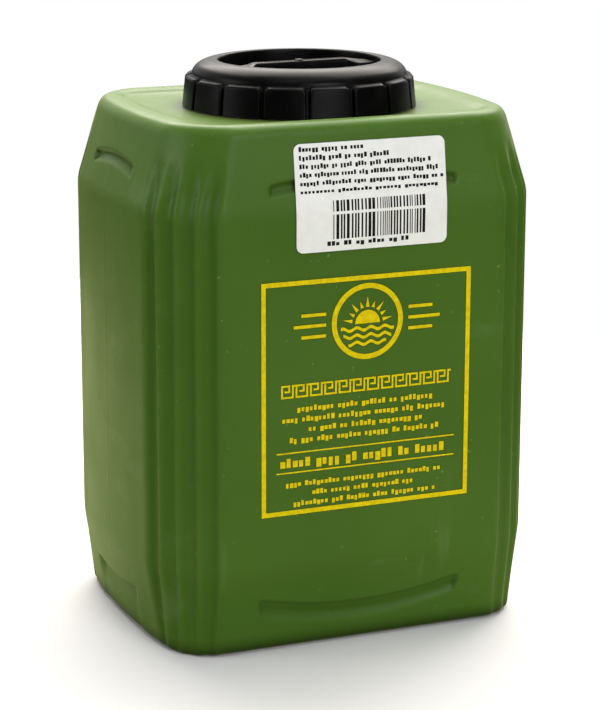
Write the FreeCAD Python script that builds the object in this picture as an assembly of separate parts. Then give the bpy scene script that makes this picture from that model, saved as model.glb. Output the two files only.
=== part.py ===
import FreeCAD
import Part
import math
import os

# A sealed 9 kg canister of olives in brine: blow-moulded body, wide black screw cap, paper label.
# Millimetres, +Z up. The origin is the middle of the base, the printed front looks along -Y,
# and the parting line of the mould lies in the plane Y = 0.

Vector = FreeCAD.Vector
UP = Vector(0, 0, 1)
QUARTER = 0.5523            # handle length of a Bezier quarter ellipse

# ---- body: overall ----
body_width = 211.2          # over the bulge of the side walls
body_depth = 166.4
body_height = 264.0         # base to the rim of the top deck
side_bulge = 3.0            # how far a side wall bows out between its ends
corner_width = 27.3         # how far a corner reaches along the front and back walls
corner_depth = 32.7         # how far it reaches along the side walls
corner_bow = 5.9            # how far a corner bows out from the straight line between two walls

# ---- body: bevels, rim and deck ----
low_bevel_height = 44.0
low_bevel_side = 6.9        # how far the side walls lean in at the base
low_bevel_front = 6.8
high_bevel_height = 42.2
high_bevel_side = 12.2      # how far the side walls lean in at the rim
high_bevel_front = 5.9
rim_corner_width = 26.1     # reach of the corners at the rim
rim_corner_depth = 32.3
base_round = 4.0
kink_round = 4.0            # length of the blend where a wall turns into a bevel
rim_round = 6.0
deck_drop = 2.6             # the deck lies this far below the rim
deck_slope = 5.0            # width of the slope from the rim down to the deck
deck_edge = 0.6             # the slope runs out before the deck has shrunk to this share
deck_middle = 0.5           # size of the plain middle of the deck, as a share

# ---- body: flutes on the corners ----
flutes = 4
flute_depth = 1.9
land_width = 3.2            # ridge between two flutes
land_crown = 0.5
shoulder_width = 1.6        # small round between a flat wall and the first flute
shoulder_crown = 0.25
base_fluting = 0.3          # share of the flute depth that is left at the base
flute_fade_start = 10.0     # above the upper kink
flute_fade_end = 27.0

# ---- body: moulded grooves in the walls ----
groove_width = 5.0
groove_depth = 2.2
groove_lip = 0.8            # width of the softened edge
front_low_groove = 108.0    # length
front_low_rise = 7.2        # how far the arc's ends stand above its middle
front_low_height = 18.8     # middle of the arc above the base
front_high_groove = 98.0
front_high_rise = 4.0
front_high_drop = 27.0      # middle of the arc below the rim
side_high_groove = 56.0
side_high_rise = 3.0
side_high_drop = 21.5

# ---- body: finger pockets and pour relief at the base ----
pocket_length = 60.0
pocket_height = 22.8
pocket_rise = 2.0
pocket_depth = 2.0
relief_width = 32.0         # raised part of the base edge inside a pocket
relief_reach = 14.0
relief_height = 2.6
relief_round = 1.6

# ---- body: parting line and neck ----
seam_width = 1.0
seam_height = 0.35
neck_gap = 0.6              # cap skirt stands this far above the deck
neck_inset = 5.0            # neck radius is smaller than the skirt by this

# ---- screw cap ----
skirt_radius = 59.4         # at the foot of the lugs
skirt_draft = 1.5           # lugs lean in by this much up to their shoulder
cap_height = 22.8
crown_step = 4.9            # the domed crown springs this far inside the foot of the lugs
crown_width = 13.4          # from there in to the wall of the recess
crown_rise = 7.3            # height of the dome
recess_round = 1.2          # round of the edge between crown and recess
lug_drop = 8.5              # the lug shoulder starts this far below the top of the cap
lug_shoulder = 2.2
lug_depth = 2.6
lugs = 16
lug_gap = 1.8
lug_corner = 3.6
recess_depth = 14.0
recess_fillet = 2.5
bar_thickness = 5.0
bar_drop = 0.8              # top of the grip bar below the crown
bar_round = 1.2
bar_foot_width = 15.0       # widened ends of the bar
bar_foot_length = 12.0
bar_foot_drop = 2.2
bar_foot_round = 3.7
nub_radius = 2.2
nub_height = 0.5
cap_turn = 4.0              # degrees that the cap has been screwed past the X axis

# ---- paper label ----
label_width = 79.7
label_height = 52.2
label_left = -36.1
label_drop = 9.6            # top of the label below the rim
label_corner = 3.5
label_thickness = 0.3

# ---- worked out ----
front_flat = body_width - 2 * (side_bulge + corner_width)
side_flat = body_depth - 2 * corner_depth
rim_front_flat = body_width - 2 * (side_bulge + high_bevel_side + rim_corner_width)
rim_side_flat = body_depth - 2 * (high_bevel_front + rim_corner_depth)
kink_low = low_bevel_height
kink_high = body_height - high_bevel_height
deck_height = body_height - deck_drop
cap_bottom = deck_height + neck_gap
neck_radius = skirt_radius - neck_inset
crown_outer = skirt_radius - crown_step
recess_radius = crown_outer - crown_width
lug_top = cap_height - lug_drop
label_bottom = body_height - label_drop - label_height
crown_inner = recess_radius + recess_round
recess_floor = cap_height - recess_depth


# ------------------------------------------------------------------ plan outline
def arc_poles(start, end, rise):
    """Four Bezier poles of the arc from start to end that bows outward (to the right) by rise."""
    chord = end - start
    along = Vector(chord)
    along.normalize()
    outward = Vector(along.y, -along.x, 0)
    turn = 2 * math.atan(2 * rise / chord.Length)
    reach = chord.Length / 3
    if abs(turn) > 1e-6:
        reach = 4 / 3 * math.tan(turn / 2) * chord.Length / (2 * math.sin(turn))
    first = start + (along * math.cos(turn) + outward * math.sin(turn)) * reach
    last = end - (along * math.cos(turn) - outward * math.sin(turn)) * reach
    return [start, first, last, end]


def arc_point(start, end, rise, share):
    """Point at the given share of the arc from start to end that bows outward by rise."""
    chord = end - start
    along = Vector(chord)
    along.normalize()
    outward = Vector(along.y, -along.x, 0)
    half_turn = 2 * math.atan(2 * rise / chord.Length)
    radius = chord.Length / (2 * math.sin(half_turn))
    middle = (start + end) * 0.5
    centre = middle - outward * (radius * math.cos(half_turn))
    angle = (2 * share - 1) * half_turn
    return centre + outward * (radius * math.cos(angle)) + along * (radius * math.sin(angle))


def corner_strips():
    """Kinds and widths of the strips across a corner; the flutes share the width that is left."""
    strips = [("shoulder", shoulder_width)]
    for number in range(flutes):
        strips.append(("flute", None))
        if number < flutes - 1:
            strips.append(("land", land_width))
    strips.append(("shoulder", shoulder_width))
    return strips


def corner_poles(start, end, fluting):
    """Bezier strips along one corner; fluting 0 is a plain bowed corner, 1 is fully fluted."""
    strips = corner_strips()
    length = (end - start).Length
    fixed = sum(width for kind, width in strips if width)
    flute_width = (length - fixed) / flutes
    fluted_rise = {"shoulder": shoulder_crown, "land": land_crown, "flute": -flute_depth}
    result = []
    position = 0.0
    for kind, width in strips:
        width = width or flute_width
        a = arc_point(start, end, corner_bow, position / length)
        b = arc_point(start, end, corner_bow, (position + width) / length)
        plain_rise = corner_bow * (width / length) ** 2
        rise = (1 - fluting) * plain_rise + fluting * fluted_rise[kind]
        result.append(arc_poles(a, b, rise))
        position += width
    return result


def outline(side_inset, front_inset, narrowing, fluting, scale):
    """The closed plan outline, anticlockwise from above, as Bezier strips in the plane Z = 0.

    Narrowing 0 has the flats of the straight walls, 1 those of the rim.
    """
    half_x = body_width / 2 - side_bulge - side_inset
    half_y = body_depth / 2 - front_inset
    front = front_flat + (rim_front_flat - front_flat) * narrowing
    side = side_flat + (rim_side_flat - side_flat) * narrowing
    front_end = Vector(front / 2, -half_y, 0)
    side_end = Vector(half_x, -side / 2, 0)

    def mirror(point, sign_x, sign_y):
        return Vector(point.x * sign_x * scale, point.y * sign_y * scale, 0)

    strips = []
    for sign in (1, -1):
        strips.append(arc_poles(mirror(front_end, -sign, sign), mirror(front_end, sign, sign), 0))
        near = corner_poles(front_end, side_end, fluting)
        strips += [[mirror(p, sign, sign) for p in poles] for poles in near]
        wall = arc_poles(mirror(side_end, sign, sign), mirror(side_end, sign, -sign), side_bulge * scale)
        strips.append(wall)
        strips += [[mirror(p, sign, -sign) for p in reversed(poles)] for poles in reversed(near)]
    return strips


# ------------------------------------------------------------------ body shell
def bevel_inset(height):
    """Insets of side and front and narrowing of the flats at a height on a bevel."""
    if height < kink_low:
        share = (kink_low - height) / low_bevel_height
        return (low_bevel_side * share, low_bevel_front * share, 0)
    share = (height - kink_high) / high_bevel_height
    return (high_bevel_side * share, high_bevel_front * share, share)


def levels(grow, fluted):
    """Control outlines from the base to the deck.

    Each is height, insets of side and front, narrowing, fluting and scale. The walls are a
    quadratic spline through these, so a run of levels on one line stays straight and a single
    level off that line becomes a smooth blend.
    """
    fade_start = kink_high + flute_fade_start
    fade_end = kink_high + flute_fade_end
    low_side, low_front, _ = bevel_inset(0)
    rim_side, rim_front, _ = bevel_inset(body_height)
    base_inset = 2 * base_round
    rim_inset = 2 * rim_round
    deck_inset = rim_inset + deck_slope
    rows = [
        (0, low_side + base_inset, low_front + base_inset, 0, base_fluting, 1),
        (0, *bevel_inset(0), base_fluting, 1),
        (base_inset, *bevel_inset(base_inset), (1 + base_fluting) / 2, 1),
        (kink_low - 2 * kink_round, *bevel_inset(kink_low - 2 * kink_round), 1, 1),
        (kink_low, 0, 0, 0, 1, 1),
        (kink_low + 2 * kink_round, 0, 0, 0, 1, 1),
        (kink_high - 2 * kink_round, 0, 0, 0, 1, 1),
        (kink_high, 0, 0, 0, 1, 1),
        (kink_high + 2 * kink_round, *bevel_inset(kink_high + 2 * kink_round), 1, 1),
        (fade_start, *bevel_inset(fade_start), 1, 1),
        ((fade_start + fade_end) / 2, *bevel_inset((fade_start + fade_end) / 2), 0.5, 1),
        (fade_end, *bevel_inset(fade_end), 0, 1),
        (body_height - rim_inset, *bevel_inset(body_height - rim_inset), 0, 1),
        (body_height, *bevel_inset(body_height), 0, 1),
        (body_height, rim_side + rim_inset, rim_front + rim_inset, 1, 0, 1),
        (deck_height, rim_side + deck_inset, rim_front + deck_inset, 1, 0, 1),
        (deck_height, rim_side + deck_inset, rim_front + deck_inset, 1, 0, deck_edge),
        (deck_height, rim_side + deck_inset, rim_front + deck_inset, 1, 0, deck_middle),
    ]
    grown = []
    for height, side, front, narrowing, fluting, scale in rows:
        height += -grow if height == 0 else grow if height > body_height - rim_inset else 0
        grown.append((height, side - grow, front - grow, narrowing, fluting if fluted else 0, scale))
    return grown


def hull(grow=0.0, fluted=True):
    """The closed body shape, grown outward by grow."""
    rows = []
    for height, *plan in levels(grow, fluted):
        rows.append([[Vector(p.x, p.y, height) for p in poles] for poles in outline(*plan)])
    count = len(rows)
    knots = list(range(count - 1))
    mults = [3] + [1] * (count - 3) + [3]
    faces = []
    for strip in range(len(rows[0])):
        surface = Part.BSplineSurface()
        poles = [[rows[level][strip][pole] for level in range(count)] for pole in range(4)]
        surface.buildFromPolesMultsKnots(poles, [4, 4], mults, [0, 1], knots, False, False, 3, 2)
        faces.append(surface.toShape())
    for row in (rows[0], rows[-1]):
        edges = []
        for poles in row:
            curve = Part.BezierCurve()
            curve.setPoles(poles)
            edges.append(curve.toShape())
        faces.append(Part.Face(Part.Wire(edges)))
    shell = Part.Shell(faces)
    shell.sewShape()
    solid = Part.Solid(shell)
    solid.fix(1e-4, 1e-4, 1e-4)
    if solid.Volume < 0:
        solid.reverse()
    return solid


# ------------------------------------------------------------------ features on the bevels
def bevel_frame(wall, upper):
    """Foot of a bevel's middle line, its outward normal and its upward direction, for one wall."""
    turn = {"front": 0, "right": 90, "back": 180, "left": 270}[wall]
    across = wall in ("left", "right")
    reach = body_width / 2 if across else body_depth / 2
    if upper:
        lean = high_bevel_side if across else high_bevel_front
        rise = high_bevel_height
        kink = kink_high
    else:
        lean = low_bevel_side if across else low_bevel_front
        rise = -low_bevel_height
        kink = kink_low
    up = Vector(0, lean, rise)
    up.normalize()
    if not upper:
        up = up * -1
    out = Vector(0, -up.z, up.y)
    spin = FreeCAD.Rotation(UP, turn)
    return spin.multVec(Vector(0, -reach, kink)), spin.multVec(out), spin.multVec(up), spin


def bevel_point(wall, upper, height):
    """The point at the given height on the middle line of a bevel."""
    foot, out, up, spin = bevel_frame(wall, upper)
    return foot + up * ((height - foot.z) / up.z), out, up


def arc_groove(wall, upper, height, length, rise):
    """Cutter for a curved groove: a profile turned about an axis square to the bevel.

    A positive rise lifts the ends of the arc (a smile), a negative one drops them.
    The groove is deepest on the side of the rim or the base, and its floor slopes out to the kink.
    """
    middle, out, up = bevel_point(wall, upper, height)
    radius = (length * length / 4 + rise * rise) / (2 * abs(rise))
    toward = up if rise > 0 else up * -1
    centre = middle + toward * radius
    steep = 1 if upper else -1
    half = groove_width / 2
    section = [
        (-half - groove_lip, groove_depth),
        (-half - groove_lip, 0),
        (-half, -groove_lip * 0.5),
        (half * 0.3, -groove_depth),
        (half * 0.8, -groove_depth),
        (half, -groove_lip),
        (half + groove_lip, 0),
        (half + groove_lip, groove_depth),
    ]
    points = [middle + up * (s * steep) + out * d for s, d in section]
    face = Part.Face(Part.makePolygon(points + points[:1]))
    sweep = 2 * math.degrees(math.asin(length / 2 / radius))
    face.rotate(centre, out, -sweep / 2)
    return face.revolve(centre, out, sweep)


def finger_pocket(wall):
    """Cutter for the shallow pocket between the lower groove line and the base of a side wall."""
    top, out, up = bevel_point(wall, False, pocket_height)
    foot = bevel_point(wall, False, -relief_height)[0]
    side = up.cross(out)
    half = pocket_length / 2
    corners = [top + side * half + up * pocket_rise, top - side * half + up * pocket_rise]
    low = [foot - side * half, foot + side * half]
    edges = [
        Part.Arc(corners[0], top, corners[1]).toShape(),
        Part.makeLine(corners[1], low[0]),
        Part.makeLine(low[0], low[1]),
        Part.makeLine(low[1], corners[0]),
    ]
    face = Part.Face(Part.Wire(edges))
    face.translate(out * -pocket_depth)
    return face.extrude(out * (3 * pocket_depth))


def base_relief(sign):
    """Cutter that lifts the base edge a little inside a finger pocket."""
    reach = body_width / 2 - low_bevel_side - relief_reach
    box = Part.makeBox(relief_reach * 3, relief_width, 2 * relief_height)
    box.translate(Vector(reach, -relief_width / 2, -relief_height))
    edges = [e for e in box.Edges if abs(e.BoundBox.ZMin - relief_height) < 1e-6 and e.BoundBox.ZLength < 1e-6]
    box = box.makeFillet(relief_round, edges)
    if sign < 0:
        box.rotate(Vector(0, 0, 0), UP, 180)
    return box


def parting_seam():
    """The raised line that the two halves of the mould leave on the side walls and the deck."""
    band = Part.makeBox(2 * body_width, seam_width, body_height)
    band.translate(Vector(-body_width, -seam_width / 2, pocket_height / 2))
    band = band.cut(Part.makeCylinder(neck_radius, body_height, Vector(0, 0, kink_high)))
    return hull(seam_height, False).common(band)


def make_body():
    shape = hull().fuse(parting_seam())
    neck = Part.makeCylinder(neck_radius, 2 * neck_gap, Vector(0, 0, cap_bottom - 2 * neck_gap))
    shape = shape.fuse(neck)
    cutters = [base_relief(1), base_relief(-1)]
    for wall in ("left", "right"):
        cutters.append(finger_pocket(wall))
        high = body_height - side_high_drop
        cutters.append(arc_groove(wall, True, high, side_high_groove, -side_high_rise))
    for wall in ("front", "back"):
        high = body_height - front_high_drop
        cutters.append(arc_groove(wall, True, high, front_high_groove, -front_high_rise))
        cutters.append(arc_groove(wall, False, front_low_height, front_low_groove, front_low_rise))
    for cutter in cutters:
        shape = shape.cut(cutter)
    return shape.removeSplitter()


# ------------------------------------------------------------------ cap
def cap_profile():
    """Half section of the cap without its lugs, in the XZ plane."""
    wall = skirt_radius - lug_depth
    springing = cap_height - crown_rise
    foot = Vector(0, 0, 0)
    skirt = [foot, Vector(wall, 0, 0), Vector(wall - skirt_draft, 0, lug_top), Vector(crown_outer, 0, springing)]
    edges = [Part.makeLine(a, b) for a, b in zip(skirt, skirt[1:])]
    width = crown_outer - crown_inner
    dome = Part.BezierCurve()
    dome.setPoles([
        skirt[-1],
        Vector(crown_outer, 0, springing + QUARTER * crown_rise),
        Vector(crown_inner + QUARTER * width, 0, cap_height),
        Vector(crown_inner, 0, cap_height),
    ])
    edges.append(dome.toShape())
    bend = recess_round * (1 - math.sqrt(0.5))
    low = Vector(recess_radius, 0, cap_height - recess_round)
    corner = Vector(recess_radius + bend, 0, cap_height - bend)
    edges.append(Part.Arc(Vector(crown_inner, 0, cap_height), corner, low).toShape())
    inside = [low, Vector(recess_radius, 0, recess_floor), Vector(0, 0, recess_floor), foot]
    edges += [Part.makeLine(a, b) for a, b in zip(inside, inside[1:])]
    return Part.Wire(edges)


def lug_ring():
    """A ring as deep as the lugs, with their sloped shoulder."""
    shoulder = lug_top + lug_shoulder
    points = [
        Vector(crown_inner, 0, 0),
        Vector(skirt_radius, 0, 0),
        Vector(skirt_radius - skirt_draft, 0, lug_top),
        Vector(skirt_radius - skirt_draft - lug_depth * 0.3, 0, lug_top + lug_shoulder * 0.6),
        Vector(crown_outer - 0.2, 0, shoulder),
        Vector(crown_inner, 0, lug_top / 2),
    ]
    face = Part.Face(Part.makePolygon(points + points[:1]))
    return face.revolve(Vector(0, 0, 0), UP, 360)


def lug_gap_cutter():
    """Slot between two lugs that flares at the top, so each lug has rounded upper corners."""
    half = lug_gap / 2
    top = lug_top + lug_shoulder
    knee = top - lug_corner
    inner = skirt_radius - lug_depth - skirt_draft
    bend = lug_corner * (1 - math.sqrt(0.5))
    wide = half + lug_corner
    points = {
        "foot": (half, -1),
        "knee": (half, knee),
        "bend": (half + bend, top - bend),
        "top": (wide, top),
        "cap": (wide, top + 1),
    }
    right = {name: Vector(inner, y, z) for name, (y, z) in points.items()}
    left = {name: Vector(inner, -y, z) for name, (y, z) in points.items()}
    edges = [
        Part.makeLine(left["foot"], right["foot"]),
        Part.makeLine(right["foot"], right["knee"]),
        Part.Arc(right["knee"], right["bend"], right["top"]).toShape(),
        Part.makeLine(right["top"], right["cap"]),
        Part.makeLine(right["cap"], left["cap"]),
        Part.makeLine(left["cap"], left["top"]),
        Part.Arc(left["top"], left["bend"], left["knee"]).toShape(),
        Part.makeLine(left["knee"], left["foot"]),
    ]
    face = Part.Face(Part.Wire(edges))
    return face.extrude(Vector(skirt_radius, 0, 0))


def grip_bar():
    """The bar across the recess, its widened feet and the small moulding nub in its middle."""
    floor = recess_floor - 1
    top = cap_height - bar_drop
    reach = recess_radius + recess_round / 2
    bar = Part.makeBox(2 * reach, bar_thickness, top - floor)
    bar.translate(Vector(-reach, -bar_thickness / 2, floor))
    edges = [e for e in bar.Edges if abs(e.BoundBox.ZMin - top) < 1e-6 and e.BoundBox.XLength > reach]
    bar = bar.makeFillet(bar_round, edges)
    for sign in (1, -1):
        foot = Part.makeBox(bar_foot_length, bar_foot_width, top - bar_foot_drop - floor)
        foot.translate(Vector(reach - bar_foot_length, -bar_foot_width / 2, floor))
        middle = reach - bar_foot_length / 2
        upright = [e for e in foot.Edges if e.BoundBox.ZLength > 1 and e.BoundBox.XMin < middle]
        foot = foot.makeFillet(bar_foot_round, upright)
        if sign < 0:
            foot.rotate(Vector(0, 0, 0), UP, 180)
        bar = bar.fuse(foot)
    nub = Part.makeCylinder(nub_radius, top + nub_height - floor, Vector(0, 0, floor))
    bar = bar.fuse(nub)
    return bar.common(Part.makeCylinder(reach, cap_height))


def make_cap():
    shape = Part.Face(cap_profile()).revolve(Vector(0, 0, 0), UP, 360)
    ring = lug_ring()
    gap = lug_gap_cutter()
    gaps = []
    for number in range(lugs):
        copy = gap.copy()
        copy.rotate(Vector(0, 0, 0), UP, number * 360 / lugs)
        gaps.append(copy)
    ring = ring.cut(Part.makeCompound(gaps))
    shape = shape.fuse(ring)
    shape = shape.fuse(grip_bar()).removeSplitter()
    corner = [e for e in shape.Edges if is_recess_corner(e)]
    shape = shape.makeFillet(recess_fillet, corner)
    shape.rotate(Vector(0, 0, 0), UP, cap_turn)
    shape.translate(Vector(0, 0, cap_bottom))
    return shape


def is_recess_corner(edge):
    """True for the round edge where the wall of the recess meets its floor."""
    if not isinstance(edge.Curve, Part.Circle):
        return False
    level = abs(edge.BoundBox.ZMax - recess_floor) < 1e-6 and edge.BoundBox.ZLength < 1e-6
    return level and abs(edge.Curve.Radius - recess_radius) < 1e-6


# ------------------------------------------------------------------ label
def make_label():
    """Paper that follows the front wall over the kink and up the bevel."""
    block = Part.makeBox(label_width, body_depth / 2, label_height)
    block.translate(Vector(label_left, -body_depth, label_bottom))
    upright = [e for e in block.Edges if e.BoundBox.YLength > 1]
    block = block.makeFillet(label_corner, upright)
    block.translate(Vector(0, body_depth / 4, 0))
    sheet = hull(label_thickness, False).common(block)
    return sheet.cut(hull(0.0, False))


os.makedirs("parts", exist_ok=True)
make_body().exportStep("parts/body.step")
make_cap().exportStep("parts/cap.step")
make_label().exportStep("parts/label.step")
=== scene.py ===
"""The looks of a sealed green canister of olives: satin moulded body, black screw cap, paper label.

Lengths are millimetres in the frame of the part (origin in the middle of the base, +Z up,
printed front along -Y) and become metres in make_piece, where each piece is made. The materials
and the studio, which is floor, lamps and camera, are in metres.
"""
import bpy
import math
import random
import numpy as np
from mathutils import Matrix, Vector


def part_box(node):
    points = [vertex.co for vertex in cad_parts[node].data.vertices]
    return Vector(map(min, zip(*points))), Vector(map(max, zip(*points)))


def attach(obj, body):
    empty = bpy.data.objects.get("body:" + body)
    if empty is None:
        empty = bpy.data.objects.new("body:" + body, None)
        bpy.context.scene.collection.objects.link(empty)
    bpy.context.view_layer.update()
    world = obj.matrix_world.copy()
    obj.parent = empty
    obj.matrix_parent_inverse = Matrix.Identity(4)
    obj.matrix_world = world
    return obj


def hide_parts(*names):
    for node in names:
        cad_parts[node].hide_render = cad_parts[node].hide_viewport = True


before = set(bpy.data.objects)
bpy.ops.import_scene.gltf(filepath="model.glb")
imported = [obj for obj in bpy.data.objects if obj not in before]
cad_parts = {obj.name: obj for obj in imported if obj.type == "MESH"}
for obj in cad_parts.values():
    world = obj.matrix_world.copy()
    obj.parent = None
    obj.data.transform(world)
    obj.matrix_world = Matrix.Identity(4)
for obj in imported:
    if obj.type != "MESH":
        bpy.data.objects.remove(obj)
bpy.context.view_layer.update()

MM = 0.001
BODY_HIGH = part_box("body")[1] / MM
CAP_LOW, CAP_HIGH = (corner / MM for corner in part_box("cap"))
LABEL_LOW, LABEL_HIGH = (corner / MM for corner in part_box("label"))

# ---- body sizes, as in the part's construction except where a comment says so ----
SEAM_HEIGHT = 0.35
SEAM_WIDTH = 1.0
SEAM_SOFT = 0.05                # the ridge that is shown, worn lower than the part's
SEAM_START = (9, 11)            # it rises between these heights
HALF_WIDTH = BODY_HIGH.x - SEAM_HEIGHT
HALF_DEPTH = BODY_HIGH.y
HEIGHT = 264.0                  # base to rim
SIDE_BULGE = 3.0
FRONT_FLAT = 150.6
SIDE_FLAT = 101.0
RIM_FRONT_FLAT = 128.6          # the flats narrow to these at the rim
RIM_SIDE_FLAT = 90.0
CORNER_BOW = 5.9
KINK_LOW = 44.0
KINK_HIGH = 221.8
LOW_LEAN = (6.9, 6.8)           # how far side and front lean in at the base
HIGH_LEAN = (12.2, 5.9)         # and at the rim
BASE_ROUND = 4.0
KINK_ROUND = 4.0
RIM_ROUND = 6.0
DECK = 261.4
DECK_SLOPE = 5.0
DECK_EDGE = 0.6                 # scales of the outlines that lie flat under the cap
DECK_MIDDLE = 0.5
FLUTES = 4
FLUTE_DEPTH = 3.4               # deeper than the part's, because the softening fills them
SOFTENING = 20                  # passes that round the edges of lands and flutes
LAND_WIDTH = 3.2
LAND_CROWN = 0.45
SHOULDER_WIDTH = 1.6
SHOULDER_CROWN = 0.25
BASE_FLUTING = 0.3              # share of the flutes' depth that is left at the base
FADE = (10.0, 27.0)             # the flutes fade out between these heights above the upper kink
NECK_INSET = 5.0                # from the skirt's outside to the neck
BASE_INNER = 0.82               # scale of the ring inside the edge of the flat base

# ---- mesh of the body ----
FRONT_COLUMNS = 120
SIDE_COLUMNS = 40               # on each side of the parting line
SEAM_COLUMNS = [0.15, 0.3, 0.5, 0.7, 1.0, 1.5]
SEAM_MARGIN = 2.6               # the wide columns stop here beside the parting line
SHOULDER_STEPS = 4
FLUTE_STEPS = 12
LAND_STEPS = 6
ROW_SPACING = 0.8               # on the bevels and rounds
WALL_SPACING = 4.0              # and this much more on the straight walls
STATION_SAMPLES = 6000          # points of the profile that the rows are spaced along
DECK_WEIGHT = 100               # length that one whole scale of the outlines counts for

# ---- cap sizes ----
SKIRT_RADIUS = 59.4
SKIRT_DRAFT = 1.5
CAP_HEIGHT = 22.8
CROWN_OUTER = 54.5
CROWN_RISE = 7.3
RECESS_RADIUS = 41.1
RECESS_ROUND = 1.2
RECESS_DEPTH = 14.0
LUGS = 16
LUG_DEPTH = 2.6
LUG_GAP = 1.8
LUG_CORNER = 3.6
LUG_TOP = 14.0                  # the sloping shoulder of the lugs starts here
LUG_ROUND = 1.5
LUG_SHOULDER_BLEND = 0.5
LUG_FLANK = (-0.25, 0.45)       # the flank rises between these distances from a lug's outline
LUG_EDGE = (0.9, 0.2)           # its edge is rounded off between these
LUG_EDGE_DROP = 0.10
LUG_EDGE_BAND = 3.2             # close columns on this band at each edge
SKIRT_WALL = 3.0
RECESS_FILLET = 2.5
BAR_HALF = 3.0                  # half widths of the grip bar and its feet
BAR_FOOT = 7.5
BAR_FOOT_LENGTH = 12.0
BAR_FOOT_DROP = 2.2
BAR_CLEARANCE = 0.2
BAR_BELOW_CROWN = 0.8
CAP_TURN = math.radians(4.0)

# ---- label sizes ----
LABEL_CORNER = 3.5
LABEL_LIFT = 0.02               # clear of the wall
LABEL_THICKNESS = 0.18


# ------------------------------------------------------------------ small helpers
def smooth(low, high, value):
    """0 below low, 1 above high and an S curve between."""
    t = np.clip((np.asarray(value, float) - low) / (high - low), 0.0, 1.0)
    return t * t * (3 - 2 * t)


def make_piece(name, points, faces, material, slot, replaces=(), smooth_shading=True):
    """A mesh object from millimetre points that rides on the part's one body."""
    mesh = bpy.data.meshes.new(name)
    mesh.from_pydata((np.asarray(points) * MM).tolist(), [], faces)
    mesh.polygons.foreach_set("use_smooth", [smooth_shading] * len(mesh.polygons))
    mesh.materials.append(material)
    mesh.update()
    piece = bpy.data.objects.new(name, mesh)
    bpy.context.scene.collection.objects.link(piece)
    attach(piece, "root")
    if replaces:
        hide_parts(*replaces)


def grid_faces(rows, columns, closed):
    """Quads of a grid of points stored row by row; closed joins the last column to the first."""
    faces = []
    for row in range(rows - 1):
        for column in range(columns if closed else columns - 1):
            right = (column + 1) % columns
            a, b = row * columns + column, row * columns + right
            faces.append((a, b, b + columns, a + columns))
    return faces


def tube_faces(rows, columns):
    """Quads of a closed grid, and a face over each of its two ends."""
    faces = grid_faces(rows, columns, True)
    faces.append(tuple(range(columns))[::-1])
    faces.append(tuple(range((rows - 1) * columns, rows * columns)))
    return faces


# ------------------------------------------------------------------ body surface
def arc(start, end, rise, shares):
    """Points at the given shares of the arc from start to end that bows to the right by rise."""
    start, end = np.asarray(start, float), np.asarray(end, float)
    shares = np.asarray(shares, float)[:, None]
    chord = end - start
    length = np.hypot(*chord)
    along = chord / length
    outward = np.array([along[1], -along[0]])
    half_turn = 2 * math.atan(2 * rise / length)
    if abs(half_turn) < 1e-6:
        return start + chord * shares
    radius = length / (2 * math.sin(half_turn))
    centre = (start + end) / 2 - outward * radius * math.cos(half_turn)
    angle = (2 * shares - 1) * half_turn
    return centre + outward * radius * np.cos(angle) + along * radius * np.sin(angle)


def corner_points(front_end, side_end, fluting):
    """One fluted corner from the front wall to the side wall, without its last point."""
    length = np.hypot(*(side_end - front_end))
    flute_width = (length - 2 * SHOULDER_WIDTH - (FLUTES - 1) * LAND_WIDTH) / FLUTES
    shoulder = (SHOULDER_WIDTH, SHOULDER_CROWN, SHOULDER_STEPS)
    strips = [shoulder]
    for number in range(FLUTES):
        strips.append((flute_width, -FLUTE_DEPTH, FLUTE_STEPS))
        if number < FLUTES - 1:
            strips.append((LAND_WIDTH, LAND_CROWN, LAND_STEPS))
    strips.append(shoulder)
    points, position = [], 0.0
    for width, fluted_rise, steps in strips:
        shares = [position / length, (position + width) / length]
        a, b = arc(front_end, side_end, CORNER_BOW, shares)
        plain_rise = CORNER_BOW * (width / length) ** 2
        rise = (1 - fluting) * plain_rise + fluting * fluted_rise
        points.append(arc(a, b, rise, np.arange(steps) / steps))
        position += width
    return np.concatenate(points)


def side_shares():
    """Columns across a side wall, close together beside the parting line in its middle."""
    beside = np.array(SEAM_COLUMNS)
    fine = np.concatenate([-beside[::-1], [0], beside]) / SIDE_FLAT
    coarse = np.linspace(-0.5, -SEAM_MARGIN / SIDE_FLAT, SIDE_COLUMNS)
    return 0.5 + np.concatenate([coarse, fine, -coarse[::-1][:-1]])


def outline(side_inset, front_inset, narrowing, fluting, scale):
    """The closed plan outline, anticlockwise from above; narrowing 1 gives the flats of the rim."""
    half_x = HALF_WIDTH - SIDE_BULGE - side_inset
    half_y = HALF_DEPTH - front_inset
    front_flat = FRONT_FLAT + (RIM_FRONT_FLAT - FRONT_FLAT) * narrowing
    side_flat = SIDE_FLAT + (RIM_SIDE_FLAT - SIDE_FLAT) * narrowing
    front_end = np.array([front_flat / 2, -half_y])
    side_end = np.array([half_x, -side_flat / 2])
    near = corner_points(front_end, side_end, fluting)
    far = np.concatenate([near[1:], [side_end]])[::-1]
    front_shares = np.arange(FRONT_COLUMNS) / FRONT_COLUMNS
    parts = []
    for sign in (1, -1):
        ends = front_end * (-sign, sign), front_end * (sign, sign)
        parts.append(arc(*ends, 0, front_shares))
        parts.append(near * (sign, sign))
        ends = side_end * (sign, sign), side_end * (sign, -sign)
        parts.append(arc(*ends, SIDE_BULGE, side_shares()))
        parts.append(far * (sign, -sign))
    plan = np.concatenate(parts)
    for _ in range(SOFTENING):
        plan = (np.roll(plan, 1, 0) + 2 * plan + np.roll(plan, -1, 0)) / 4
    return plan * scale


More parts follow.
